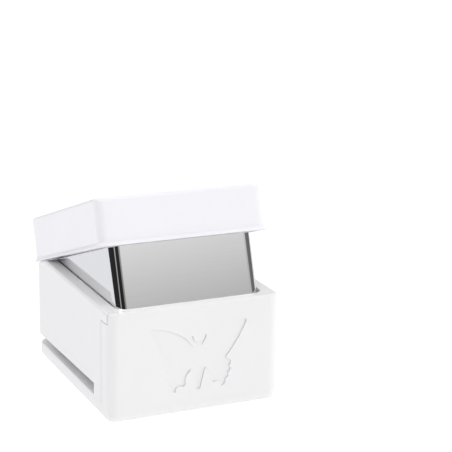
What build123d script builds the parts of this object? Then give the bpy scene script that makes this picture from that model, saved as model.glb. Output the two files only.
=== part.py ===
"""Lever paper punch: a white moulded box with a chrome-banded rocking lid that drives a
butterfly-shaped steel punch through a die at the foot of the box.

Row frame, millimetres: +X to the right of the front panel, +Y towards the hinge and the
open side of the paper slot, +Z up. The origin lies on the resting plane, under the middle
of the whole object with its lid raised.
"""
import os
from math import cos, radians, sin, tan

from build123d import *

os.makedirs("parts", exist_ok=True)

# ---------------------------------------------------------------- driving dimensions
BODY_W = 58.0            # box width, X
BODY_D = 70.2            # box depth, Y
RIM_Z = 35.6             # top of the box
CORNER_R = 3.4           # upright corners
FOOT_R = 2.4             # rounding under the box
RIM_R = 0.9              # rounding of the outer rim
SIDE_LIP = 4.2           # width of the rim at the sides
SIDE_LIP_Z = 31.6        # underside of that rim
WELL_R = 3.4             # inner corners of the rim at the front
PLATE_BACK_R = 5.4       # back corners of the base plate
WALL = 2.6               # side and back walls
CENTRE_Y = -4.1          # the box's middle in the row frame

PANEL_LIP = 3.6          # front panel at the rim
PANEL_T = 1.8            # front panel below the rim
PANEL_LIP_Z = 33.0       # underside of the thicker lip
FLANGE_T = 1.3           # side flanges of the front panel
FLANGE_BACK = -28.7      # rear edge of the flanges
FLANGE_TOP = 32.0        # the flanges stop below the rim
SEAM = 0.22              # open seam between the two mouldings

PLATE_TOP = 5.2          # top of the base plate, floor of the paper slot
LEAD_IN = 0.4            # rounding along the open sides of the plate
SLOT_BACK_TOP = 8.0      # roof of the slot at the back
SLOT_TOP = 9.3           # underside of the housing
SLOT_END = -22.0         # closed end of the paper slot
FLOOR_TOP = 10.6         # housing floor

DIE_Z0, DIE_Z1 = 2.0, 5.2
GUIDE_Z0, GUIDE_Z1 = 6.8, 9.4
PLATE_HALF_X, PLATE_HALF_Y = 25.0, 31.5
PUNCH_Y = 3.5            # middle of the butterfly

HINGE_Y, HINGE_Z = 24.436, 22.036
REST_TILT = 19.5         # the lid's tilt when released
PRESS_ANGLE = 19.0       # travel of the lid from rest
BAR_ARM = 18.0           # hinge to press bar
BAR_R = 3.0
GAP = 0.1                # press bar to wear pad

LID_W, LID_D, LID_H = 56.2, 68.6, 15.1
LID_Z = 35.8             # underside of the lid when shut
LID_FRONT = -34.0
LID_CORNER = 2.8
LID_LIP = 0.85           # flare along the lid's lower edge
LID_WALL = 1.6
LID_ROOF = 2.2
SKIRT_HALF = 24.4
SKIRT_CORNER = 3.4
SKIRT_FRONT = -31.2
SKIRT_BACK = 27.0
SKIRT_Z0, SKIRT_Z1 = 12.4, 46.4
SKIRT_T = 1.2

ARM_X0, ARM_X1 = 20.2, 21.6      # lever arms
EAR_X0, EAR_X1 = 18.6, 19.9      # bracket ears
LEVER_Z0, LEVER_Z1 = 44.2, 45.7  # lever top plate

HOLDER_Z0, HOLDER_Z1 = 18.9, 21.4
PAD_T = 1.1
BLADE_Z0 = 8.9
GUIDE_PINS = [(-15.5, -13.5), (15.5, -13.5), (-15.5, 19.0), (15.5, 19.0)]
GUIDE_PIN_R = 1.5
SPRING_D, SPRING_WIRE, SPRING_TURNS = 4.7, 0.55, 4.0
BASE_SCREWS = [(-18.5, -26.6), (0.0, -26.6), (18.5, -26.6)]
DIE_RIVETS = [(-9.2, -27.0), (9.2, -27.0)]
LID_SCREWS = [(-14.5, -4.0), (14.5, -4.0), (-14.5, 21.0), (14.5, 21.0)]
BLADE_SCREWS = [(-8.0, -2.4), (8.0, -2.4)]
BRACKET_RIVETS = [(-10.5, 26.8), (10.5, 26.8)]

# ---------------------------------------------------------------- planes
# PLAN holds the box's own coordinates: middle of the box at x = 0, y = 0.
PLAN = Plane(origin=(0, CENTRE_Y, 0))
SIDE = Plane(origin=(0, CENTRE_Y, 0), x_dir=(0, 1, 0), z_dir=(1, 0, 0))
FRONT = Plane(origin=(0, CENTRE_Y - BODY_D / 2, 0), x_dir=(1, 0, 0), z_dir=(0, -1, 0))

# LID and LID_SIDE hold the lid's coordinates as they are when the lid lies shut on the box,
# turned up by REST_TILT about the hinge.
TILT_C, TILT_S = cos(radians(REST_TILT)), sin(radians(REST_TILT))
LID_ORIGIN = (
    0,
    CENTRE_Y + HINGE_Y - HINGE_Y * TILT_C - HINGE_Z * TILT_S,
    HINGE_Z + HINGE_Y * TILT_S - HINGE_Z * TILT_C,
)
LID = Plane(origin=LID_ORIGIN, x_dir=(1, 0, 0), z_dir=(0, TILT_S, TILT_C))
LID_SIDE = Plane(origin=LID_ORIGIN, x_dir=(0, TILT_C, -TILT_S), z_dir=(1, 0, 0))

# press bar centre in the shut lid's coordinates
BAR_ANGLE = radians(REST_TILT - PRESS_ANGLE / 2)
BAR_Y = HINGE_Y - BAR_ARM * cos(BAR_ANGLE)
BAR_Z = HINGE_Z - BAR_ARM * sin(BAR_ANGLE)
TRAVEL = 2 * BAR_ARM * sin(radians(PRESS_ANGLE / 2))
BAR_MID_Y = HINGE_Y - BAR_ARM + 0.1
PAD_TOP = HINGE_Z + TRAVEL / 2 - BAR_R - GAP
print("press bar", round(BAR_Y, 3), round(BAR_Z, 3), "punch travel", round(TRAVEL, 4),
      "per radian", round(TRAVEL / radians(PRESS_ANGLE), 5), "pad top", round(PAD_TOP, 3))

# ---------------------------------------------------------------- butterfly outline
# Right half from head to tail, as (through, end) arcs; None is a straight run.
# It is 38 mm across the wings and 25 mm tall, with the head towards +Y.
WING = [
    ((0.0, 5.9), None),
    (None, (0.75, 5.9)),
    ((1.75, 6.75), (2.35, 8.05)),
    ((2.7, 8.35), (2.9, 7.95)),
    ((2.35, 6.1), (1.55, 4.9)),
    ((1.75, 4.35), (2.3, 4.5)),
    ((9.0, 10.2), (17.9, 12.45)),
    ((18.85, 12.1), (18.75, 11.1)),
    ((15.3, 4.6), (11.3, -0.9)),
    ((11.0, -1.75), (11.75, -2.3)),
    ((12.95, -3.6), (12.15, -5.0)),
    ((12.75, -6.4), (11.7, -7.6)),
    ((11.9, -8.9), (10.75, -9.8)),
    ((10.75, -11.4), (9.75, -12.3)),
    ((9.2, -12.4), (9.0, -11.9)),
    ((8.1, -10.5), (6.6, -10.6)),
    ((5.4, -10.3), (5.2, -9.1)),
    ((4.7, -6.6), (3.3, -4.9)),
    ((2.85, -4.6), (2.5, -5.1)),
    ((1.7, -8.2), (0.85, -11.6)),
    ((0.0, -12.45), None),
]


def wing_outline():
    """The closed butterfly outline, as edges of the current BuildLine."""
    start = WING[0][0]
    here = WING[1][1]
    Line((0, start[1]), here)
    Line((0, start[1]), (-here[0], here[1]))
    for through, end in WING[2:-1]:
        ThreePointArc(here, through, end)
        ThreePointArc((-here[0], here[1]), (-through[0], through[1]), (-end[0], end[1]))
        here = end
    ThreePointArc(here, WING[-1][0], (-here[0], here[1]))


with BuildSketch(mode=Mode.PRIVATE) as butterfly:
    with BuildLine():
        wing_outline()
    make_face()
CUT_GAP = 0.05           # all round between blade and plates
with BuildSketch(mode=Mode.PRIVATE) as butterfly_hole:
    offset(butterfly.sketch, amount=CUT_GAP, kind=Kind.INTERSECTION)

# ================================================================= fixed box
# ---- base plate and front panel: one L-shaped moulding
LIP_HALF = BODY_W / 2 - SIDE_LIP - WELL_R - 0.1
with BuildPart() as base_plate:
    with BuildSketch(PLAN) as foot_shape:
        Rectangle(BODY_W, BODY_D)
        fillet(foot_shape.vertices().group_by(Axis.Y)[0], CORNER_R)
        fillet(foot_shape.vertices().group_by(Axis.Y)[-1], PLATE_BACK_R)
    extrude(amount=RIM_Z)
    fillet(base_plate.faces().sort_by(Axis.Z)[0].edges(), FOOT_R)
    fillet(base_plate.faces().sort_by(Axis.Z)[-1].edges(), RIM_R)
    # everything above the plate and behind the panel is the housing's
    with BuildSketch(PLAN.offset(PLATE_TOP)):
        with Locations((0, (FLANGE_BACK + BODY_D / 2 + 5) / 2)):
            Rectangle(BODY_W + 10, BODY_D / 2 + 5 - FLANGE_BACK)
        with Locations((0, (FLANGE_BACK - BODY_D / 2 + PANEL_T) / 2 + 1)):
            Rectangle(BODY_W - 2 * FLANGE_T, FLANGE_BACK + BODY_D / 2 - PANEL_T + 2)
    extrude(amount=RIM_Z, mode=Mode.SUBTRACT)
    with BuildSketch(PLAN.offset(FLANGE_TOP)):
        with Locations((0, 5 - BODY_D / 2 + PANEL_T)):
            Rectangle(BODY_W + 10, 10)
    extrude(amount=RIM_Z, mode=Mode.SUBTRACT)
    # thicker lip along the rim, sloped underneath
    with BuildSketch(Plane(origin=(LIP_HALF, CENTRE_Y, 0), x_dir=(0, 1, 0), z_dir=(1, 0, 0))):
        with BuildLine():
            Polyline(
                (-BODY_D / 2 + PANEL_T - 0.4, PANEL_LIP_Z - 0.8),
                (-BODY_D / 2 + PANEL_T, PANEL_LIP_Z - 0.8),
                (-BODY_D / 2 + PANEL_LIP, PANEL_LIP_Z),
                (-BODY_D / 2 + PANEL_LIP, RIM_Z - 0.2),
                (-BODY_D / 2 + PANEL_LIP - 0.2, RIM_Z),
                (-BODY_D / 2 + PANEL_T - 0.4, RIM_Z),
                close=True,
            )
        make_face()
    extrude(amount=-2 * LIP_HALF)
    # pocket for the die plate and the window under it
    with BuildSketch(PLAN.offset(DIE_Z0)):
        RectangleRounded(2 * PLATE_HALF_X + 0.3, 2 * PLATE_HALF_Y + 0.3, 1.5)
    extrude(amount=PLATE_TOP - DIE_Z0 + 0.01, mode=Mode.SUBTRACT)
    with BuildSketch(PLAN):
        with Locations((0, PUNCH_Y)):
            RectangleRounded(44, 31, 5)
    extrude(amount=DIE_Z0, mode=Mode.SUBTRACT)
    # screw holes, countersunk from below
    with BuildSketch(PLAN):
        with Locations(*BASE_SCREWS):
            Circle(1.4)
    extrude(amount=DIE_Z0, mode=Mode.SUBTRACT)
    with BuildSketch(PLAN):
        with Locations(*BASE_SCREWS):
            Circle(2.7)
    extrude(amount=1.3, taper=45, mode=Mode.SUBTRACT)
    # butterfly sunk into the front panel
    with BuildSketch(FRONT.offset(0.01)):
        with Locations((1.0, 18.2)):
            add(scale(butterfly.sketch, by=0.86, mode=Mode.PRIVATE))
    extrude(amount=-0.46, mode=Mode.SUBTRACT)
    # lead-in round the open sides of the slot
    mouth = [
        e
        for e in base_plate.edges()
        if abs(e.center().Z - PLATE_TOP) < 0.01
        and (e.center().Y > CENTRE_Y + 32.0 or abs(e.center().X) > BODY_W / 2 - 0.1)
    ]
    fillet(mouth, LEAD_IN)
    with BuildSketch(PLAN.offset(PLATE_TOP - LEAD_IN)):
        with Locations(
            (BODY_W / 2 - LEAD_IN / 2, (FLANGE_BACK + SLOT_END) / 2),
            (LEAD_IN / 2 - BODY_W / 2, (FLANGE_BACK + SLOT_END) / 2),
        ):
            Rectangle(LEAD_IN, SLOT_END - FLANGE_BACK)
    extrude(amount=LEAD_IN)
base_plate.part.label = "base_plate"
export_step(base_plate.part, "parts/base_plate.step")

# ---- housing: side and back walls, floor over the paper slot
REAR_CLEAR = 0.3
SLOPE_Y = HINGE_Y + (
    LID_Z - HINGE_Z - REAR_CLEAR - TILT_C * (RIM_Z - HINGE_Z)
) / TILT_S
with BuildPart() as housing:
    with BuildSketch(PLAN.offset(PLATE_TOP)):
        RectangleRounded(BODY_W, BODY_D, CORNER_R)
    extrude(amount=RIM_Z - PLATE_TOP)
    # the rear of the rim falls away under the raised lid
    with BuildSketch(SIDE.offset(-BODY_W)):
        with BuildLine():
            Polyline(
                (SLOPE_Y, RIM_Z),
                (SLOPE_Y + 20, RIM_Z - 20 * tan(radians(REST_TILT))),
                (SLOPE_Y + 20, RIM_Z + 5),
                (SLOPE_Y, RIM_Z + 5),
                close=True,
            )
        make_face()
    extrude(amount=2 * BODY_W, mode=Mode.SUBTRACT)
    top = housing.faces().filter_by(Axis.Z).sort_by(Axis.Z)[-1]
    fall = [
        f
        for f in housing.faces()
        if f.center().Z > RIM_Z - 4 and f.normal_at().Z > 0.9 and f.normal_at().Y > 0.2
    ][0]
    rim = [
        e
        for e in top.edges() + fall.edges()
        if not (abs(e.center().X) < 1 and abs(e.center().Y - CENTRE_Y - SLOPE_Y) < 0.1)
    ]
    fillet(rim, RIM_R)
    # inside
    with BuildSketch(PLAN.offset(FLOOR_TOP)):
        with Locations((0, (BODY_D / 2 - WALL - 45) / 2)):
            RectangleRounded(BODY_W - 2 * WALL, BODY_D / 2 - WALL + 45, 1.5)
    extrude(amount=SIDE_LIP_Z - FLOOR_TOP, mode=Mode.SUBTRACT)
    with BuildSketch(PLAN.offset(SIDE_LIP_Z - 0.01)) as mouth_shape:
        with Locations((0, (PANEL_LIP - WALL) / 2)):
            Rectangle(BODY_W - 2 * SIDE_LIP, BODY_D - PANEL_LIP - WALL)
        fillet(mouth_shape.vertices().group_by(Axis.Y)[0], WELL_R)
        fillet(mouth_shape.vertices().group_by(Axis.Y)[-1], 1.5)
    extrude(amount=RIM_Z, mode=Mode.SUBTRACT)
    with BuildSketch(PLAN.offset(SIDE_LIP_Z - 0.01)):
        with Locations((0, -BODY_D / 2)):
            Rectangle(2 * LIP_HALF + 0.2, 2 * PANEL_LIP + 0.02)
    extrude(amount=RIM_Z, mode=Mode.SUBTRACT)
    # paper slot, open at both sides and the back
    with BuildSketch(SIDE.offset(-BODY_W)):
        with BuildLine():
            Polyline(
                (SLOT_END, PLATE_TOP - 0.01),
                (SLOT_END, SLOT_TOP),
                (BODY_D / 2 + 0.01, SLOT_BACK_TOP),
                (BODY_D / 2 + 0.01, PLATE_TOP - 0.01),
                close=True,
            )
        make_face()
    extrude(amount=2 * BODY_W, mode=Mode.SUBTRACT)
    # pocket for the guide plate
    with BuildSketch(PLAN.offset(PLATE_TOP - 0.01)):
        RectangleRounded(2 * PLATE_HALF_X + 0.3, 2 * PLATE_HALF_Y + 0.3, 1.5)
    extrude(amount=GUIDE_Z1 - PLATE_TOP + 0.01, mode=Mode.SUBTRACT)
    # well over the guide plate for blade and springs
    with BuildSketch(PLAN.offset(GUIDE_Z1 - 0.1)):
        with Locations((0, 2.4)):
            RectangleRounded(38.6, 38.8, 2.5)
    extrude(amount=3, mode=Mode.SUBTRACT)
    # bosses over the base screws
    with BuildSketch(PLAN.offset(FLOOR_TOP - 0.5)):
        with Locations(*BASE_SCREWS):
            Circle(2.9)
    extrude(amount=7.0)
    with BuildSketch(PLAN.offset(GUIDE_Z1 - 0.1)):
        with Locations(*BASE_SCREWS):
            Circle(1.3)
    extrude(amount=6.4, mode=Mode.SUBTRACT)
    # rivet holes under the hinge bracket
    with BuildSketch(PLAN.offset(GUIDE_Z1 - 0.1)):
        with Locations(*BRACKET_RIVETS):
            Circle(1.25)
    extrude(amount=3, mode=Mode.SUBTRACT)
    # room for the front panel and its flanges
    with BuildSketch(PLAN.offset(PLATE_TOP - 0.01)):
        with Locations((0, -BODY_D / 2 + PANEL_T + SEAM - 10)):
            Rectangle(BODY_W + 10, 20)
        with Locations(
            (BODY_W / 2 - FLANGE_T - SEAM + 5, FLANGE_BACK + SEAM - 10),
            (-(BODY_W / 2 - FLANGE_T - SEAM + 5), FLANGE_BACK + SEAM - 10),
        ):
            Rectangle(10, 20)
    extrude(amount=FLANGE_TOP + SEAM - PLATE_TOP + 0.01, mode=Mode.SUBTRACT)
    with BuildSketch(PLAN.offset(FLANGE_TOP)):
        with Locations((0, -BODY_D / 2 + PANEL_T + SEAM - 10)):
            Rectangle(BODY_W + 10, 20)
    extrude(amount=RIM_Z, mode=Mode.SUBTRACT)
housing.part.label = "housing"
export_step(housing.part, "parts/housing.step")

# ---- steel plates of the cutting stack
with BuildPart() as die_plate:
    with BuildSketch(PLAN.offset(DIE_Z0)):
        RectangleRounded(2 * PLATE_HALF_X, 2 * PLATE_HALF_Y, 1.35)
        with Locations((0, PUNCH_Y)):
            add(butterfly_hole.sketch, mode=Mode.SUBTRACT)
        with Locations(*BASE_SCREWS):
            Circle(1.35, mode=Mode.SUBTRACT)
        with Locations(*DIE_RIVETS):
            Circle(1.52, mode=Mode.SUBTRACT)
    extrude(amount=DIE_Z1 - DIE_Z0)
die_plate.part.label = "die_plate"
export_step(die_plate.part, "parts/die_plate.step")

with BuildPart() as spacer_bar:
    with BuildSketch(PLAN.offset(DIE_Z1)):
        with Locations((0, (SLOT_END - PLATE_HALF_Y) / 2)):
            Rectangle(2 * PLATE_HALF_X, PLATE_HALF_Y + SLOT_END)
        with Locations(*BASE_SCREWS):
            Circle(1.35, mode=Mode.SUBTRACT)
        with Locations(*DIE_RIVETS):
            Circle(1.52, mode=Mode.SUBTRACT)
    extrude(amount=GUIDE_Z0 - DIE_Z1)
    fillet(spacer_bar.edges().filter_by(Axis.Z).group_by(Axis.Y)[0], 1.3)
spacer_bar.part.label = "spacer_bar"
export_step(spacer_bar.part, "parts/spacer_bar.step")

with BuildPart() as guide_plate:
    with BuildSketch(PLAN.offset(GUIDE_Z0)):
        RectangleRounded(2 * PLATE_HALF_X, 2 * PLATE_HALF_Y, 1.35)
        with Locations((0, PUNCH_Y)):
            add(butterfly_hole.sketch, mode=Mode.SUBTRACT)
        with Locations(*BASE_SCREWS):
            Circle(1.35, mode=Mode.SUBTRACT)
        with Locations(*DIE_RIVETS):
            Circle(1.52, mode=Mode.SUBTRACT)
        with Locations(*GUIDE_PINS):
            Circle(GUIDE_PIN_R + 0.01, mode=Mode.SUBTRACT)
    extrude(amount=GUIDE_Z1 - GUIDE_Z0)
    # lead-in round the plate for the paper
    entry = [
        e
        for e in guide_plate.faces().sort_by(Axis.Z)[0].outer_wire().edges()
        if e.center().Y > CENTRE_Y + SLOT_END or abs(e.center().X) > PLATE_HALF_X - 0.1
    ]
    chamfer(entry, 0.8)
guide_plate.part.label = "guide_plate"
export_step(guide_plate.part, "parts/guide_plate.step")

# ---- U-shaped hinge bracket
EAR_R = 3.2
BRACKET_Y0, BRACKET_Y1, BRACKET_T = 22.9, 30.9, 1.4
with BuildPart() as hinge_bracket:
    with BuildSketch(SIDE.offset(EAR_X0)):
        with BuildLine():
            Polyline(
                (BRACKET_Y0, FLOOR_TOP),
                (BRACKET_Y1, FLOOR_TOP),
                (BRACKET_Y1, 13.5),
                (HINGE_Y + EAR_R, HINGE_Z),
                (HINGE_Y - EAR_R, HINGE_Z),
                (HINGE_Y - EAR_R, 14.5),
                (BRACKET_Y0, 12.9),
                close=True,
            )
        make_face()
        with Locations((HINGE_Y, HINGE_Z)):
            Circle(EAR_R)
    extrude(amount=EAR_X1 - EAR_X0)
    mirror(about=Plane.YZ)
    with BuildSketch(PLAN.offset(FLOOR_TOP)):
        with Locations((0, (BRACKET_Y0 + BRACKET_Y1) / 2)):
            Rectangle(2 * EAR_X1 - 0.2, BRACKET_Y1 - BRACKET_Y0)
    extrude(amount=BRACKET_T)
    fillet(
        hinge_bracket.edges()
        .filter_by(Axis.Y)
        .filter_by_position(Axis.Z, FLOOR_TOP + BRACKET_T - 0.1, FLOOR_TOP + BRACKET_T + 0.1),
        0.9,
    )
    with BuildSketch(SIDE.offset(-BODY_W)):
        with Locations((HINGE_Y, HINGE_Z)):
            Circle(1.52)
    extrude(amount=2 * BODY_W, mode=Mode.SUBTRACT)
    with BuildSketch(PLAN.offset(FLOOR_TOP - 0.1)):
        with Locations(*BRACKET_RIVETS):
            Circle(1.25)
    extrude(amount=BRACKET_T + 1, mode=Mode.SUBTRACT)
hinge_bracket.part.label = "hinge_bracket"
export_step(hinge_bracket.part, "parts/hinge_bracket.step")

# ---- hinge pin and its two retaining clips
with BuildPart() as hinge_pin:
    with BuildSketch(SIDE.offset(-22.6)):
        with Locations((HINGE_Y, HINGE_Z)):
            Circle(1.5)
    extrude(amount=45.2)
    chamfer(hinge_pin.edges().filter_by(GeomType.CIRCLE), 0.3)
hinge_pin.part.label = "hinge_pin"
export_step(hinge_pin.part, "parts/hinge_pin.step")

for side, start in (("left", -22.2), ("right", 21.8)):
    with BuildPart() as clip:
        with BuildSketch(SIDE.offset(start)):
            with Locations((HINGE_Y, HINGE_Z)):
                Circle(2.9)
                Circle(1.52, mode=Mode.SUBTRACT)
            with Locations((HINGE_Y, HINGE_Z + 3)):
                Rectangle(1.8, 6, mode=Mode.SUBTRACT)
        extrude(amount=0.4)
    clip.part.label = "pin_clip_" + side
    export_step(clip.part, "parts/pin_clip_" + side + ".step")

# ---- guide pins: shank pressed into the guide plate, head above the holder
PIN_HEAD_Z = HOLDER_Z1 + 0.15
for tag, (px, py) in zip(("fl", "fr", "rl", "rr"), GUIDE_PINS):
    with BuildPart() as guide_pin:
        with BuildSketch(PLAN.offset(GUIDE_Z0)):
            with Locations((px, py)):
                Circle(GUIDE_PIN_R)
        extrude(amount=PIN_HEAD_Z - GUIDE_Z0 + 0.1)
        with BuildSketch(PLAN.offset(PIN_HEAD_Z)):
            with Locations((px, py)):
                Circle(2.3)
        extrude(amount=0.9)
        chamfer(guide_pin.faces().sort_by(Axis.Z)[-1].edges(), 0.25)
    guide_pin.part.label = "guide_pin_" + tag
    export_step(guide_pin.part, "parts/guide_pin_" + tag + ".step")

# ---- return springs round the guide pins
SPRING_R = (SPRING_D - SPRING_WIRE) / 2
SPRING_H = HOLDER_Z0 - GUIDE_Z1 - SPRING_WIRE
for tag, (px, py) in zip(("fl", "fr", "rl", "rr"), GUIDE_PINS):
    with BuildPart() as spring:
        with BuildLine(
            Plane(origin=(px, CENTRE_Y + py, GUIDE_Z1 + SPRING_WIRE / 2))
        ) as coil:
            Helix(pitch=SPRING_H / SPRING_TURNS, height=SPRING_H, radius=SPRING_R)
        with BuildSketch(Plane(origin=coil.line @ 0, z_dir=coil.line % 0)):
            Circle(SPRING_WIRE / 2)
        sweep()
    spring.part.label = "return_spring_" + tag
    export_step(spring.part, "parts/return_spring_" + tag + ".step")

# ---- screws, rivets
for tag, (px, py) in zip(("left", "mid", "right"), BASE_SCREWS):
    with BuildPart() as base_screw:
        with BuildSketch(Plane(origin=(px, CENTRE_Y + py, 0), x_dir=(1, 0, 0), z_dir=(0, -1, 0))):
            with BuildLine():
                Polyline(
                    (0, 0.1), (2.5, 0.1), (1.25, 1.35), (1.25, 14.6), (0.7, 15.2), (0, 15.2),
                    close=True,
                )
            make_face()
        revolve(axis=Axis((px, CENTRE_Y + py, 0), (0, 0, 1)))
        with BuildSketch(PLAN):
            with Locations((px, py)):
                Rectangle(2.8, 0.6)
                Rectangle(0.6, 2.8)
        extrude(amount=0.9, mode=Mode.SUBTRACT)
    base_screw.part.label = "base_screw_" + tag
    export_step(base_screw.part, "parts/base_screw_" + tag + ".step")

for tag, (px, py) in zip(("left", "right"), DIE_RIVETS):
    with BuildPart() as die_rivet:
        with BuildSketch(PLAN.offset(DIE_Z0)):
            with Locations((px, py)):
                Circle(1.5)
        extrude(amount=GUIDE_Z1 - DIE_Z0)
    die_rivet.part.label = "die_rivet_" + tag
    export_step(die_rivet.part, "parts/die_rivet_" + tag + ".step")

for tag, (px, py) in zip(("left", "right"), BRACKET_RIVETS):
    with BuildPart() as bracket_rivet:
        with BuildSketch(PLAN.offset(GUIDE_Z1)):
            with Locations((px, py)):
                Circle(1.2)
        extrude(amount=FLOOR_TOP + BRACKET_T - GUIDE_Z1 + 0.1)
        with BuildSketch(PLAN.offset(FLOOR_TOP + BRACKET_T)):
            with Locations((px, py)):
                Circle(2.2)
        extrude(amount=0.9)
        fillet(bracket_rivet.faces().sort_by(Axis.Z)[-1].edges(), 0.6)
    bracket_rivet.part.label = "bracket_rivet_" + tag
    export_step(bracket_rivet.part, "parts/bracket_rivet_" + tag + ".step")

# ================================================================= rocking lid
LID_MID = LID_FRONT + LID_D / 2
with BuildPart() as lid_cap:
    with BuildSketch(LID.offset(LID_Z)):
        with Locations((0, LID_MID)):
            RectangleRounded(LID_W, LID_D, LID_CORNER)
    extrude(amount=LID_H)
    fillet(lid_cap.faces().sort_by(SortBy.AREA)[-2:].sort_by(Axis.Z)[-1].edges(), 1.3)
    # small flare along the lower edge
    with BuildSketch(LID.offset(LID_Z)):
        with Locations((0, LID_MID)):
            RectangleRounded(LID_W + 2 * LID_LIP, LID_D + 2 * LID_LIP, LID_CORNER + LID_LIP)
    extrude(amount=0.3)
    with BuildSketch(LID.offset(LID_Z + 0.3)):
        with Locations((0, LID_MID)):
            RectangleRounded(LID_W + 2 * LID_LIP, LID_D + 2 * LID_LIP, LID_CORNER + LID_LIP)
    extrude(amount=1.2 * LID_LIP, taper=39.8)
    with BuildSketch(LID.offset(LID_Z - 0.01)):
        with Locations((0, LID_MID)):
            RectangleRounded(LID_W - 2 * LID_WALL, LID_D - 2 * LID_WALL, 1.4)
    extrude(amount=LID_H - LID_ROOF + 0.01, mode=Mode.SUBTRACT)
    # bosses for the lever's screws
    with BuildSketch(LID.offset(LEVER_Z1)):
        with Locations(*LID_SCREWS):
            Circle(3.2)
    extrude(amount=LID_Z + LID_H - LID_ROOF - LEVER_Z1 + 0.3)
    with BuildSketch(LID.offset(LEVER_Z1 - 0.1)):
        with Locations(*LID_SCREWS):
            Circle(1.3)
    extrude(amount=4.2, mode=Mode.SUBTRACT)
lid_cap.part.label = "lid_cap"
export_step(lid_cap.part, "parts/lid_cap.step")

# ---- inner frame that closes the lid's underside round the chrome skirt
with BuildPart() as lid_frame:
    with BuildSketch(LID.offset(LID_Z + 0.3)):
        with Locations((0, LID_MID)):
            RectangleRounded(LID_W - 2 * LID_WALL - 0.16, LID_D - 2 * LID_WALL - 0.16, 1.35)
        with Locations((0, (SKIRT_FRONT + 30.5) / 2)):
            RectangleRounded(2 * SKIRT_HALF + 0.04, 30.5 - SKIRT_FRONT + 0.04, SKIRT_CORNER + 0.02, mode=Mode.SUBTRACT)
    extrude(amount=1.7)
    with BuildSketch(LID.offset(LID_Z + 0.3)):
        with Locations((0, LID_MID)):
            RectangleRounded(LID_W - 2 * LID_WALL - 0.4, LID_D - 2 * LID_WALL - 0.4, 1.3)
        with Locations((0, (SKIRT_FRONT + 30.5) / 2)):
            RectangleRounded(2 * SKIRT_HALF + 0.04, 30.5 - SKIRT_FRONT + 0.04, SKIRT_CORNER + 0.02, mode=Mode.SUBTRACT)
    extrude(amount=5.0)
lid_frame.part.label = "lid_frame"
export_step(lid_frame.part, "parts/lid_frame.step")

# ---- chrome skirt: front and two sides
with BuildPart() as chrome_skirt:
    with BuildSketch(LID.offset(SKIRT_Z0)):
        with Locations((0, (SKIRT_FRONT + 40) / 2)):
            RectangleRounded(2 * SKIRT_HALF, 40 - SKIRT_FRONT, SKIRT_CORNER)
            RectangleRounded(2 * (SKIRT_HALF - SKIRT_T), 40 - SKIRT_FRONT - 2 * SKIRT_T, SKIRT_CORNER - SKIRT_T, mode=Mode.SUBTRACT)
        with Locations((0, SKIRT_BACK + 15)):
            Rectangle(60, 30, mode=Mode.SUBTRACT)
    extrude(amount=SKIRT_Z1 - SKIRT_Z0)
chrome_skirt.part.label = "chrome_skirt"
export_step(chrome_skirt.part, "parts/chrome_skirt.step")

# ---- lever: top plate with two arms down to hinge pin and press bar
LEVER_FRONT, LEVER_REAR = -10.0, 26.9
with BuildPart() as lever:
    with BuildSketch(LID_SIDE.offset(ARM_X0)):
        with BuildLine():
            Polyline(
                (LEVER_FRONT + 4, LEVER_Z1),
                (LEVER_REAR, LEVER_Z1),
                (LEVER_REAR, 32.0),
                (HINGE_Y + 3.8, HINGE_Z + 1),
                (HINGE_Y, HINGE_Z - 3.8),
                (BAR_Y + 0.8, BAR_Z - 3.7),
                (BAR_Y - 3.8, BAR_Z),
                (LEVER_FRONT + 4, LEVER_Z0 - 4),
                close=True,
            )
        make_face()
        with Locations((HINGE_Y, HINGE_Z), (BAR_Y, BAR_Z)):
            Circle(3.8)
        with Locations((HINGE_Y, HINGE_Z)):
            Circle(1.55, mode=Mode.SUBTRACT)
        with Locations((BAR_Y, BAR_Z)):
            Circle(2.02, mode=Mode.SUBTRACT)
        with Locations((14.0, 30.5)):
            SlotOverall(14, 6, rotation=60, mode=Mode.SUBTRACT)
    extrude(amount=ARM_X1 - ARM_X0)
    mirror(about=Plane.YZ)
    with BuildSketch(LID.offset(LEVER_Z0)):
        with Locations((0, (LEVER_FRONT + LEVER_REAR) / 2)):
            Rectangle(2 * ARM_X1 - 0.4, LEVER_REAR - LEVER_FRONT)
        with Locations(*LID_SCREWS):
            Circle(1.6, mode=Mode.SUBTRACT)
    extrude(amount=LEVER_Z1 - LEVER_Z0)
lever.part.label = "lever"
export_step(lever.part, "parts/lever.step")

with BuildPart() as press_bar:
    with BuildSketch(LID_SIDE.offset(-(ARM_X0 - 0.02))):
        with Locations((BAR_Y, BAR_Z)):
            Circle(BAR_R)
    extrude(amount=2 * (ARM_X0 - 0.02))
    with BuildSketch(LID_SIDE.offset(-(ARM_X1 + 0.4))):
        with Locations((BAR_Y, BAR_Z)):
            Circle(2.0)
    extrude(amount=2 * (ARM_X1 + 0.4))
press_bar.part.label = "press_bar"
export_step(press_bar.part, "parts/press_bar.step")

for tag, (px, py) in zip(("fl", "fr", "rl", "rr"), LID_SCREWS):
    with BuildPart() as lid_screw:
        with BuildSketch(LID.offset(LEVER_Z0 - 1.3)):
            with Locations((px, py)):
                Circle(2.5)
        extrude(amount=1.28)
        with BuildSketch(LID.offset(LEVER_Z0 - 0.5)):
            with Locations((px, py)):
                Circle(1.25)
        extrude(amount=5.3)
        with BuildSketch(LID.offset(LEVER_Z0 - 1.4)):
            with Locations((px, py)):
                Rectangle(2.6, 0.55)
                Rectangle(0.55, 2.6)
        extrude(amount=0.9, mode=Mode.SUBTRACT)
    lid_screw.part.label = "lid_screw_" + tag
    export_step(lid_screw.part, "parts/lid_screw_" + tag + ".step")

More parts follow.
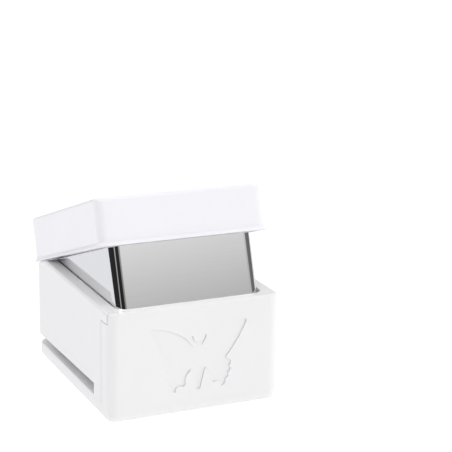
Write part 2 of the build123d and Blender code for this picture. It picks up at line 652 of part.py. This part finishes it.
# ================================================================= punch, sliding down
with BuildPart() as punch_blade:
    with BuildSketch(PLAN.offset(BLADE_Z0)):
        with Locations((0, PUNCH_Y)):
            add(butterfly.sketch)
    extrude(amount=HOLDER_Z0 - BLADE_Z0)
    with BuildSketch(PLAN.offset(HOLDER_Z0 + 0.1)):
        with Locations((0, PUNCH_Y)):
            with Locations(*BLADE_SCREWS):
                Circle(1.3)
    extrude(amount=-7.5, mode=Mode.SUBTRACT)
punch_blade.part.label = "punch_blade"
export_step(punch_blade.part, "parts/punch_blade.step")

with BuildPart() as punch_holder:
    with BuildSketch(PLAN.offset(HOLDER_Z0)) as plan_shape:
        with BuildLine():
            Polyline(
                (-19.6, -17.2), (19.6, -17.2), (19.6, 16.4), (18.2, 16.4),
                (18.2, 22.2), (-18.2, 22.2), (-18.2, 16.4), (-19.6, 16.4),
                close=True,
            )
        make_face()
        fillet(plan_shape.vertices().group_by(Axis.Y)[0], 2.0)
        fillet(plan_shape.vertices().group_by(Axis.Y)[-1], 1.5)
        with Locations(*GUIDE_PINS):
            Circle(2.42, mode=Mode.SUBTRACT)
    extrude(amount=HOLDER_Z1 - HOLDER_Z0)
    with BuildSketch(PLAN.offset(PAD_TOP - PAD_T)):
        with Locations((0, BAR_MID_Y)):
            Rectangle(10.1, 8.1)
    extrude(amount=2, mode=Mode.SUBTRACT)
    with BuildSketch(PLAN.offset(HOLDER_Z0 - 0.1)):
        with Locations((0, PUNCH_Y)):
            with Locations(*BLADE_SCREWS):
                Circle(1.35)
    extrude(amount=3, mode=Mode.SUBTRACT)
    with BuildSketch(PLAN.offset(HOLDER_Z1)):
        with Locations((0, PUNCH_Y)):
            with Locations(*BLADE_SCREWS):
                Circle(2.5)
    extrude(amount=-1.15, taper=45, mode=Mode.SUBTRACT)
punch_holder.part.label = "punch_holder"
export_step(punch_holder.part, "parts/punch_holder.step")

with BuildPart() as wear_pad:
    with BuildSketch(PLAN.offset(PAD_TOP - PAD_T)):
        with Locations((0, BAR_MID_Y)):
            Rectangle(10.0, 8.0)
    extrude(amount=PAD_T)
    chamfer(wear_pad.faces().sort_by(Axis.Z)[-1].edges(), 0.2)
wear_pad.part.label = "wear_pad"
export_step(wear_pad.part, "parts/wear_pad.step")

for tag, (px, py) in zip(("fl", "fr", "rl", "rr"), GUIDE_PINS):
    with BuildPart() as bush:
        with BuildSketch(PLAN.offset(HOLDER_Z0)):
            with Locations((px, py)):
                Circle(2.4)
                Circle(GUIDE_PIN_R + 0.05, mode=Mode.SUBTRACT)
        extrude(amount=HOLDER_Z1 - HOLDER_Z0)
    bush.part.label = "guide_bush_" + tag
    export_step(bush.part, "parts/guide_bush_" + tag + ".step")

for tag, (px, py) in zip(("left", "right"), BLADE_SCREWS):
    with BuildPart() as blade_screw:
        with BuildSketch(
            Plane(origin=(px, CENTRE_Y + PUNCH_Y + py, 0), x_dir=(1, 0, 0), z_dir=(0, -1, 0))
        ):
            with BuildLine():
                Polyline(
                    (0, HOLDER_Z1 - 0.1), (2.3, HOLDER_Z1 - 0.1), (1.25, HOLDER_Z1 - 1.2),
                    (1.25, 13.0), (0.8, 12.5), (0, 12.5),
                    close=True,
                )
            make_face()
        revolve(axis=Axis((px, CENTRE_Y + PUNCH_Y + py, 0), (0, 0, 1)))
        with BuildSketch(PLAN.offset(HOLDER_Z1)):
            with Locations((px, PUNCH_Y + py)):
                RegularPolygon(1.0, 6)
        extrude(amount=-0.9, mode=Mode.SUBTRACT)
    blade_screw.part.label = "blade_screw_" + tag
    export_step(blade_screw.part, "parts/blade_screw_" + tag + ".step")
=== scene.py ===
"""Looks for the lever paper punch: materials, fine springs and edges, floor, light and camera."""

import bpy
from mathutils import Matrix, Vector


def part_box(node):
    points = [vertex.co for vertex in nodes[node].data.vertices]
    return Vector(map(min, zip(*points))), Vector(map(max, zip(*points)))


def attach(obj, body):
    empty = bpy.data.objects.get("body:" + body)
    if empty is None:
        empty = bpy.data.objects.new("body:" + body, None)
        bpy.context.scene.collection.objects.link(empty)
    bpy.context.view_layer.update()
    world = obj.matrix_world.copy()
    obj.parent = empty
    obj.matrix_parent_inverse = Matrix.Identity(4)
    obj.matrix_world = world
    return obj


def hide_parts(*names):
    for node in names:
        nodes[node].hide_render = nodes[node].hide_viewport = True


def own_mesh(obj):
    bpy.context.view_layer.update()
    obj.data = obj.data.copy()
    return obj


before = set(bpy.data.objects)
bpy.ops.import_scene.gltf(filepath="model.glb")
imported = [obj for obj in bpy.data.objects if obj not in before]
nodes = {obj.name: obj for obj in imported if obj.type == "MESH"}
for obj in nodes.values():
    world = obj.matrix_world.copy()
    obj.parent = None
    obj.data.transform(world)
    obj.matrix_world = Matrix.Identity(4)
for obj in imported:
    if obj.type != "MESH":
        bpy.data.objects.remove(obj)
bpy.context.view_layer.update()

import math

import bmesh
import bpy
from mathutils import Matrix, Vector

scene = bpy.context.scene
scene.view_settings.view_transform = "Standard"
scene.view_settings.look = "None"
scene.view_settings.exposure = 0.0
scene.view_settings.gamma = 1.0

MM = 0.001
CENTRE_Y = -4.1          # the box's middle, mm


# ------------------------------------------------------------------ node helpers
def new_material(name):
    mat = bpy.data.materials.new(name)
    mat.use_nodes = True
    tree = mat.node_tree
    for n in list(tree.nodes):
        tree.nodes.remove(n)
    out = tree.nodes.new("ShaderNodeOutputMaterial")
    bsdf = tree.nodes.new("ShaderNodeBsdfPrincipled")
    tree.links.new(bsdf.outputs["BSDF"], out.inputs["Surface"])
    return mat, tree, bsdf


def node(tree, kind, **settings):
    n = tree.nodes.new(kind)
    for k, v in settings.items():
        if k in n.inputs:
            n.inputs[k].default_value = v
        else:
            setattr(n, k, v)
    return n


def coords(tree, scale):
    tc = node(tree, "ShaderNodeTexCoord")
    mp = node(tree, "ShaderNodeMapping")
    mp.inputs["Scale"].default_value = scale
    tree.links.new(tc.outputs["Object"], mp.inputs["Vector"])
    return mp.outputs["Vector"]


def noise(tree, vec, scale, detail=3.0, rough=0.5):
    n = node(tree, "ShaderNodeTexNoise")
    n.inputs["Scale"].default_value = scale
    n.inputs["Detail"].default_value = detail
    n.inputs["Roughness"].default_value = rough
    tree.links.new(vec, n.inputs["Vector"])
    return n.outputs["Fac"]


def remap(tree, fac, lo, hi, from_lo=0.3, from_hi=0.7):
    m = node(tree, "ShaderNodeMapRange")
    m.inputs["From Min"].default_value = from_lo
    m.inputs["From Max"].default_value = from_hi
    m.inputs["To Min"].default_value = lo
    m.inputs["To Max"].default_value = hi
    tree.links.new(fac, m.inputs["Value"])
    return m.outputs["Result"]


def mix_colour(tree, fac, a, b):
    m = node(tree, "ShaderNodeMix")
    m.data_type = "RGBA"
    m.inputs["A"].default_value = (*a, 1)
    m.inputs["B"].default_value = (*b, 1)
    tree.links.new(fac, m.inputs["Factor"])
    return m.outputs["Result"]


def bump(tree, bsdf, height, strength, distance, normal=None):
    b = node(tree, "ShaderNodeBump")
    b.inputs["Strength"].default_value = strength
    b.inputs["Distance"].default_value = distance
    tree.links.new(height, b.inputs["Height"])
    if normal is not None:
        tree.links.new(normal, b.inputs["Normal"])
    tree.links.new(b.outputs["Normal"], bsdf.inputs["Normal"])
    return b


def soft_edge(tree, radius):
    """Normal of a small rounding along every sharp edge."""
    b = node(tree, "ShaderNodeBevel")
    b.samples = 6
    b.inputs["Radius"].default_value = radius
    return b.outputs["Normal"]


def white_plastic(name, tone, warm=(1, 1, 1)):
    """Glossy moulded styrene: slight mottling of the gloss, faint waviness, fine texture."""
    mat, tree, bsdf = new_material(name)
    vec = coords(tree, (1, 1, 1))
    big = noise(tree, vec, 60.0, 2.0)
    fine = noise(tree, vec, 1500.0, 2.0)
    a = tuple(tone * w * 1.0 for w in warm)
    b = tuple(tone * w * 0.985 for w in warm)
    tree.links.new(mix_colour(tree, remap(tree, big, 0, 1), a, b), bsdf.inputs["Base Color"])
    tree.links.new(remap(tree, fine, 0.30, 0.38), bsdf.inputs["Roughness"])
    bsdf.inputs["IOR"].default_value = 1.5
    bsdf.inputs["Specular IOR Level"].default_value = 0.5
    bsdf.inputs["Subsurface Weight"].default_value = 0.25
    bsdf.inputs["Subsurface Radius"].default_value = (0.0015, 0.0014, 0.0013)
    bsdf.inputs["Subsurface Scale"].default_value = 0.4
    bsdf.inputs["Coat Weight"].default_value = 0.25
    bsdf.inputs["Coat Roughness"].default_value = 0.12
    first = node(tree, "ShaderNodeBump")
    first.inputs["Strength"].default_value = 0.10
    first.inputs["Distance"].default_value = 0.00025
    tree.links.new(noise(tree, vec, 45.0, 1.0), first.inputs["Height"])
    tree.links.new(soft_edge(tree, 0.00018), first.inputs["Normal"])
    bump(tree, bsdf, fine, 0.12, 0.00002, first.outputs["Normal"])
    return mat


def chrome(name):
    """Bright plating with a faint grain that runs across the part."""
    mat, tree, bsdf = new_material(name)
    grain = noise(tree, coords(tree, (25, 25, 3600)), 1.0, 3.0, 0.6)
    cloud = noise(tree, coords(tree, (1, 1, 1)), 90.0, 2.0)
    tree.links.new(
        mix_colour(tree, remap(tree, grain, 0, 1), (0.93, 0.93, 0.925), (0.905, 0.91, 0.91)),
        bsdf.inputs["Base Color"],
    )
    bsdf.inputs["Metallic"].default_value = 1.0
    tree.links.new(remap(tree, cloud, 0.035, 0.065), bsdf.inputs["Roughness"])
    bump(tree, bsdf, grain, 0.015, 0.00001)
    return mat


def sheet_steel(name, tone, rough, direction=(30, 900, 30)):
    mat, tree, bsdf = new_material(name)
    grain = noise(tree, coords(tree, direction), 1.0, 4.0, 0.65)
    cloud = noise(tree, coords(tree, (1, 1, 1)), 70.0, 3.0)
    light = tuple(tone * c for c in (1.0, 1.0, 1.0))
    dark = tuple(tone * c * 0.84 for c in (0.99, 1.0, 1.02))
    tree.links.new(mix_colour(tree, remap(tree, grain, 0, 1), light, dark), bsdf.inputs["Base Color"])
    bsdf.inputs["Metallic"].default_value = 1.0
    tree.links.new(remap(tree, cloud, rough * 0.8, rough * 1.25), bsdf.inputs["Roughness"])
    bump(tree, bsdf, grain, 0.2, 0.00002, soft_edge(tree, 0.0001))
    return mat


def turned_metal(name, colour, rough):
    mat, tree, bsdf = new_material(name)
    fine = noise(tree, coords(tree, (200, 200, 3000)), 1.0, 2.0)
    cloud = noise(tree, coords(tree, (1, 1, 1)), 400.0, 3.0)
    dark = tuple(c * 0.82 for c in colour)
    tree.links.new(mix_colour(tree, remap(tree, cloud, 0, 1), colour, dark), bsdf.inputs["Base Color"])
    bsdf.inputs["Metallic"].default_value = 1.0
    tree.links.new(remap(tree, fine, rough * 0.8, rough * 1.3), bsdf.inputs["Roughness"])
    bump(tree, bsdf, fine, 0.1, 0.00001, soft_edge(tree, 0.00008))
    return mat


def dark_plastic(name):
    mat, tree, bsdf = new_material(name)
    fine = noise(tree, coords(tree, (1, 1, 1)), 1200.0, 3.0)
    tree.links.new(mix_colour(tree, remap(tree, fine, 0, 1), (0.02, 0.02, 0.022), (0.035, 0.035, 0.037)), bsdf.inputs["Base Color"])
    tree.links.new(remap(tree, fine, 0.4, 0.55), bsdf.inputs["Roughness"])
    bump(tree, bsdf, fine, 0.2, 0.00002)
    return mat


BODY_WHITE = white_plastic("body_white", 0.885, (1.0, 0.992, 0.994))
LID_WHITE = white_plastic("lid_white", 0.938, (0.990, 0.982, 1.030))
CHROME = chrome("chrome_band")
SHEET = sheet_steel("sheet_steel", 0.58, 0.32)
BLADE = sheet_steel("blade_steel", 0.62, 0.22, (900, 900, 40))
GROUND = turned_metal("ground_steel", (0.64, 0.65, 0.66), 0.18)
ZINC = turned_metal("zinc_screw", (0.58, 0.59, 0.60), 0.28)
SPRING = turned_metal("spring_wire", (0.50, 0.51, 0.53), 0.22)
BRASS = turned_metal("brass_bush", (0.72, 0.52, 0.25), 0.25)
PAD = dark_plastic("wear_pad")


def look_of(name):
    if name in ("base_plate", "housing"):
        return BODY_WHITE
    if name in ("lid_cap", "lid_frame"):
        return LID_WHITE
    if name == "chrome_skirt":
        return CHROME
    if name.startswith("return_spring"):
        return SPRING
    if name.startswith("guide_bush"):
        return BRASS
    if name == "wear_pad":
        return PAD
    if name in ("hinge_pin", "press_bar") or name.startswith("guide_pin"):
        return GROUND
    if name.startswith(("base_screw", "lid_screw", "blade_screw", "die_rivet", "bracket_rivet", "pin_clip")):
        return ZINC
    if name == "punch_blade":
        return BLADE
    return SHEET


for name, obj in nodes.items():
    obj.data.materials.clear()
    obj.data.materials.append(look_of(name))

# ------------------------------------------------------------------ return springs
def spring(name, low, high, wire, turns, steps=64, round_steps=14):
    """A compression spring with closed, ground ends, standing between two heights."""
    cx, cy = (low.x + high.x) / 2, (low.y + high.y) / 2
    coil = (high.x - low.x) / 2 - wire / 2
    z0, z1 = low.z + wire / 2, high.z - wire / 2
    total = int(turns * steps)
    closed = 1.0          # turns lying flat at each end
    bm = bmesh.new()
    rings = []
    for i in range(total + 1):
        t = i / total * turns
        rise = (z1 - z0) - 2 * wire * closed
        if t < closed:
            z = z0 + wire * t
        elif t > turns - closed:
            z = z1 - wire * (turns - t)
        else:
            z = z0 + wire * closed + rise * (t - closed) / (turns - 2 * closed)
        a = 2 * math.pi * t
        centre = Vector((cx + coil * math.cos(a), cy + coil * math.sin(a), z))
        out = Vector((math.cos(a), math.sin(a), 0))
        ring = []
        for k in range(round_steps):
            b = 2 * math.pi * k / round_steps
            p = centre + (out * math.cos(b) + Vector((0, 0, 1)) * math.sin(b)) * wire / 2
            # ground flat at both ends
            p.z = min(max(p.z, low.z), high.z)
            ring.append(bm.verts.new(p))
        rings.append(ring)
    for ra, rb in zip(rings, rings[1:]):
        for k in range(round_steps):
            j = (k + 1) % round_steps
            bm.faces.new((ra[k], ra[j], rb[j], rb[k]))
    bm.faces.new(rings[0][::-1])
    bm.faces.new(rings[-1])
    bmesh.ops.recalc_face_normals(bm, faces=bm.faces)
    mesh = bpy.data.meshes.new(name)
    bm.to_mesh(mesh)
    bm.free()
    for p in mesh.polygons:
        p.use_smooth = len(p.vertices) == 4
    obj = bpy.data.objects.new(name, mesh)
    scene.collection.objects.link(obj)
    obj.data.materials.append(SPRING)
    return obj


for corner in ("fl", "fr", "rl", "rr"):
    low, high = (Vector(c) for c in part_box("return_spring_" + corner))
    coil = spring("coil_spring_" + corner, low, high, 0.55 * MM, 6.0)
    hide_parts("return_spring_" + corner)
    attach(coil, "box")
    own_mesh(coil)

# ------------------------------------------------------------------ camera
CAM_AZ, CAM_EL, CAM_ROLL = CAMERA_POSE = (-25.064, 15.463, 1.025)
CAM_F = 1515.05           # focal length in pixels of a 452-pixel image
CAM_SHIFT = (0.0, 0.0)
CAM_DIST = 505.0
CAM_TARGET = (25.845, -0.284 + CENTRE_Y, 49.116)

az, el, roll = (math.radians(v) for v in CAMERA_POSE)
back = Vector((math.sin(az) * math.cos(el), -math.cos(az) * math.cos(el), math.sin(el)))
right = Vector((0, 0, 1)).cross(back).normalized()
up = back.cross(right)
right2 = right * math.cos(roll) + up * math.sin(roll)
up2 = up * math.cos(roll) - right * math.sin(roll)
eye = (Vector(CAM_TARGET) + back * CAM_DIST) * MM
cam_data = bpy.data.cameras.new("camera")
cam_data.sensor_width = 36.0
cam_data.sensor_fit = "HORIZONTAL"
cam_data.lens = CAM_F / 452 * 36.0
cam_data.shift_x, cam_data.shift_y = CAM_SHIFT
cam_data.clip_start, cam_data.clip_end = 0.01, 20
cam_data.dof.use_dof = False
camera = bpy.data.objects.new("camera", cam_data)
scene.collection.objects.link(camera)
camera.matrix_world = Matrix((
    (right2.x, up2.x, back.x, eye.x),
    (right2.y, up2.y, back.y, eye.y),
    (right2.z, up2.z, back.z, eye.z),
    (0, 0, 0, 1),
))
scene.camera = camera

# ------------------------------------------------------------------ floor, light
world = bpy.data.worlds.new("studio")
scene.world = world
world.use_nodes = True
wt = world.node_tree
for n in list(wt.nodes):
    wt.nodes.remove(n)
wo = wt.nodes.new("ShaderNodeOutputWorld")
bg = wt.nodes.new("ShaderNodeBackground")
wt.links.new(bg.outputs["Background"], wo.inputs["Surface"])
# pale studio walls, a little brighter to the right, in front and overhead
wtc = wt.nodes.new("ShaderNodeTexCoord")
dot = wt.nodes.new("ShaderNodeVectorMath")
dot.operation = "DOT_PRODUCT"
dot.inputs[1].default_value = (0.075, -0.03, 0.10)
wt.links.new(wtc.outputs["Generated"], dot.inputs[0])
base = wt.nodes.new("ShaderNodeMath")
base.operation = "ADD"
base.inputs[1].default_value = 1.23
wt.links.new(dot.outputs["Value"], base.inputs[0])
# darker parts of the room: in front of the box's left corner, behind it to the right, and overhead
strength = base
for direction, power, gain in (
    ((-0.66, -0.74, 0.12), 4.0, -1.30),
    ((0.62, 0.76, 0.15), 2.0, -0.20),
    ((0.0, 0.15, 0.99), 3.0, -0.16),
):
    toward = wt.nodes.new("ShaderNodeVectorMath")
    toward.operation = "DOT_PRODUCT"
    toward.inputs[1].default_value = direction
    wt.links.new(wtc.outputs["Generated"], toward.inputs[0])
    above = wt.nodes.new("ShaderNodeMath")
    above.operation = "MAXIMUM"
    above.inputs[1].default_value = 0.0
    wt.links.new(toward.outputs["Value"], above.inputs[0])
    lobe = wt.nodes.new("ShaderNodeMath")
    lobe.operation = "POWER"
    lobe.inputs[1].default_value = power
    wt.links.new(above.outputs["Value"], lobe.inputs[0])
    total = wt.nodes.new("ShaderNodeMath")
    total.operation = "MULTIPLY_ADD"
    total.inputs[1].default_value = gain
    wt.links.new(lobe.outputs["Value"], total.inputs[0])
    wt.links.new(strength.outputs["Value"], total.inputs[2])
    strength = total
wt.links.new(strength.outputs["Value"], bg.inputs["Strength"])
bg.inputs["Color"].default_value = (0.995, 0.99, 1.0, 1)


def plane(name, centre, x_axis, y_axis, size):
    """A flat card given by its middle, two directions and its size, all in millimetres."""
    c, x, y = Vector(centre) * MM, Vector(x_axis).normalized(), Vector(y_axis).normalized()
    hx, hy = size[0] * MM / 2, size[1] * MM / 2
    mesh = bpy.data.meshes.new(name)
    mesh.from_pydata(
        [c - x * hx - y * hy, c + x * hx - y * hy, c + x * hx + y * hy, c - x * hx + y * hy],
        [], [(0, 1, 2, 3)],
    )
    uv = mesh.uv_layers.new(name="UVMap")
    for i, p in enumerate(((0, 0), (1, 0), (1, 1), (0, 1))):
        uv.data[i].uv = p
    obj = bpy.data.objects.new(name, mesh)
    scene.collection.objects.link(obj)
    return obj


def emission(name, colour_nodes):
    mat = bpy.data.materials.new(name)
    mat.use_nodes = True
    tree = mat.node_tree
    for n in list(tree.nodes):
        tree.nodes.remove(n)
    out = tree.nodes.new("ShaderNodeOutputMaterial")
    em = tree.nodes.new("ShaderNodeEmission")
    tree.links.new(em.outputs["Emission"], out.inputs["Surface"])
    if callable(colour_nodes):
        colour_nodes(tree, em)
    else:
        em.inputs["Color"].default_value = (*colour_nodes, 1)
    return mat


floor = plane("floor", (0, 0, -0.02), (1, 0, 0), (0, 1, 0), (6000, 6000))
floor_mat, ft, fb = new_material("floor_paper")
fv = coords(ft, (1, 1, 1))
ft.links.new(mix_colour(ft, remap(ft, noise(ft, fv, 300.0), 0, 1), (0.42, 0.42, 0.42), (0.41, 0.41, 0.41)), fb.inputs["Base Color"])
fb.inputs["Roughness"].default_value = 0.9
fb.inputs["Specular IOR Level"].default_value = 0.1
fb.inputs["Emission Color"].default_value = (1, 1, 1, 1)
fb.inputs["Emission Strength"].default_value = 0.70
floor.data.materials.append(floor_mat)


def card(name, centre, facing, size, colour_nodes):
    """A reflector that only mirror-like reflections see."""
    z = Vector(facing).normalized()
    x = Vector((0, 0, 1)).cross(z).normalized()
    y = z.cross(x)
    obj = plane(name, centre, x, y, size)
    obj.data.materials.append(emission(name, colour_nodes))
    obj.visible_camera = False
    obj.visible_diffuse = False
    obj.visible_shadow = False
    obj.visible_transmission = False
    obj.visible_volume_scatter = False
    return obj


def area_light(name, centre, target, size, watts, colour=(1, 1, 1)):
    data = bpy.data.lights.new(name, "AREA")
    data.shape = "RECTANGLE"
    data.size, data.size_y = size[0] * MM, size[1] * MM
    data.energy = watts
    data.color = colour
    obj = bpy.data.objects.new(name, data)
    scene.collection.objects.link(obj)
    c = Vector(centre) * MM
    obj.location = c
    obj.rotation_euler = (Vector(target) * MM - c).to_track_quat("-Z", "Y").to_euler()
    return obj


# what the chrome mirrors: a grey floor and a ring of dark and light panels
mirror_floor = plane("mirror_floor", (0, 0, -0.01), (1, 0, 0), (0, 1, 0), (2600, 2600))
mirror_floor.data.materials.append(emission("mirror_floor", (0.80, 0.803, 0.84)))


def studio_ring():
    steps, radius, low, high = 144, 800 * MM, -4 * MM, 520 * MM
    mesh = bpy.data.meshes.new("studio_ring")
    verts, faces = [], []
    for i in range(steps):
        a = 2 * math.pi * i / steps
        for z in (low, high):
            verts.append((radius * math.sin(a), -radius * math.cos(a), z))
    for i in range(steps):
        k = (i + 1) % steps
        faces.append((2 * i, 2 * k, 2 * k + 1, 2 * i + 1))
    mesh.from_pydata(verts, [], faces)
    obj = bpy.data.objects.new("studio_ring", mesh)
    scene.collection.objects.link(obj)

    def colours(tree, em):
        tc = node(tree, "ShaderNodeTexCoord")
        sep = node(tree, "ShaderNodeSeparateXYZ")
        tree.links.new(tc.outputs["Object"], sep.inputs["Vector"])
        neg = node(tree, "ShaderNodeMath", operation="MULTIPLY")
        neg.inputs[1].default_value = -1.0
        tree.links.new(sep.outputs["Y"], neg.inputs[0])
        angle = node(tree, "ShaderNodeMath", operation="ARCTAN2")
        tree.links.new(sep.outputs["X"], angle.inputs[0])
        tree.links.new(neg.outputs["Value"], angle.inputs[1])
        turn = node(tree, "ShaderNodeMapRange")
        turn.inputs["From Min"].default_value = -math.pi
        turn.inputs["From Max"].default_value = math.pi
        tree.links.new(angle.outputs["Value"], turn.inputs["Value"])
        ramp = node(tree, "ShaderNodeValToRGB")
        stops = [
            (-180, 0.62), (-152, 0.62), (-140, 0.06), (-45, 0.04), (-40, 0.80), (-37, 0.80),
            (-30, 0.03), (1, 0.03), (4, 0.38), (12, 0.42), (16, 0.97), (44, 1.0), (50, 0.30), (100, 0.30), (112, 0.85), (180, 0.80),
        ]
        els = ramp.color_ramp.elements
        els[0].position, els[1].position = 0.0, 1.0
        els[0].color = (stops[0][1],) * 3 + (1,)
        els[1].color = (stops[-1][1],) * 3 + (1,)
        for deg, v in stops[1:-1]:
            els.new((deg + 180) / 360).color = (v, v, v, 1)
        tree.links.new(turn.outputs["Result"], ramp.inputs["Fac"])
        rise = node(tree, "ShaderNodeMapRange")
        rise.inputs["From Min"].default_value = RISE[0] * MM
        rise.inputs["From Max"].default_value = RISE[1] * MM
        rise.inputs["To Min"].default_value = RISE[2]
        rise.inputs["To Max"].default_value = RISE[3]
        tree.links.new(sep.outputs["Z"], rise.inputs["Value"])
        tree.links.new(ramp.outputs["Color"], em.inputs["Color"])
        tree.links.new(rise.outputs["Result"], em.inputs["Strength"])

    obj.data.materials.append(emission("studio_ring", colours))
    return obj


RISE = (268.0, 345.0, 0.475, 0.765)
ring = studio_ring()
for o in (mirror_floor, ring):
    o.visible_camera = False
    o.visible_diffuse = False
    o.visible_shadow = False
    o.visible_transmission = False
    o.visible_volume_scatter = False

# a small lamp's reflection: a dot on the lid's raised front corner
glint = card("glint", (-300, -370, 600), (300, 335, -540), (240, 260), (1, 1, 1))
glint.data.materials[0].node_tree.nodes["Emission"].inputs["Strength"].default_value = 8.0
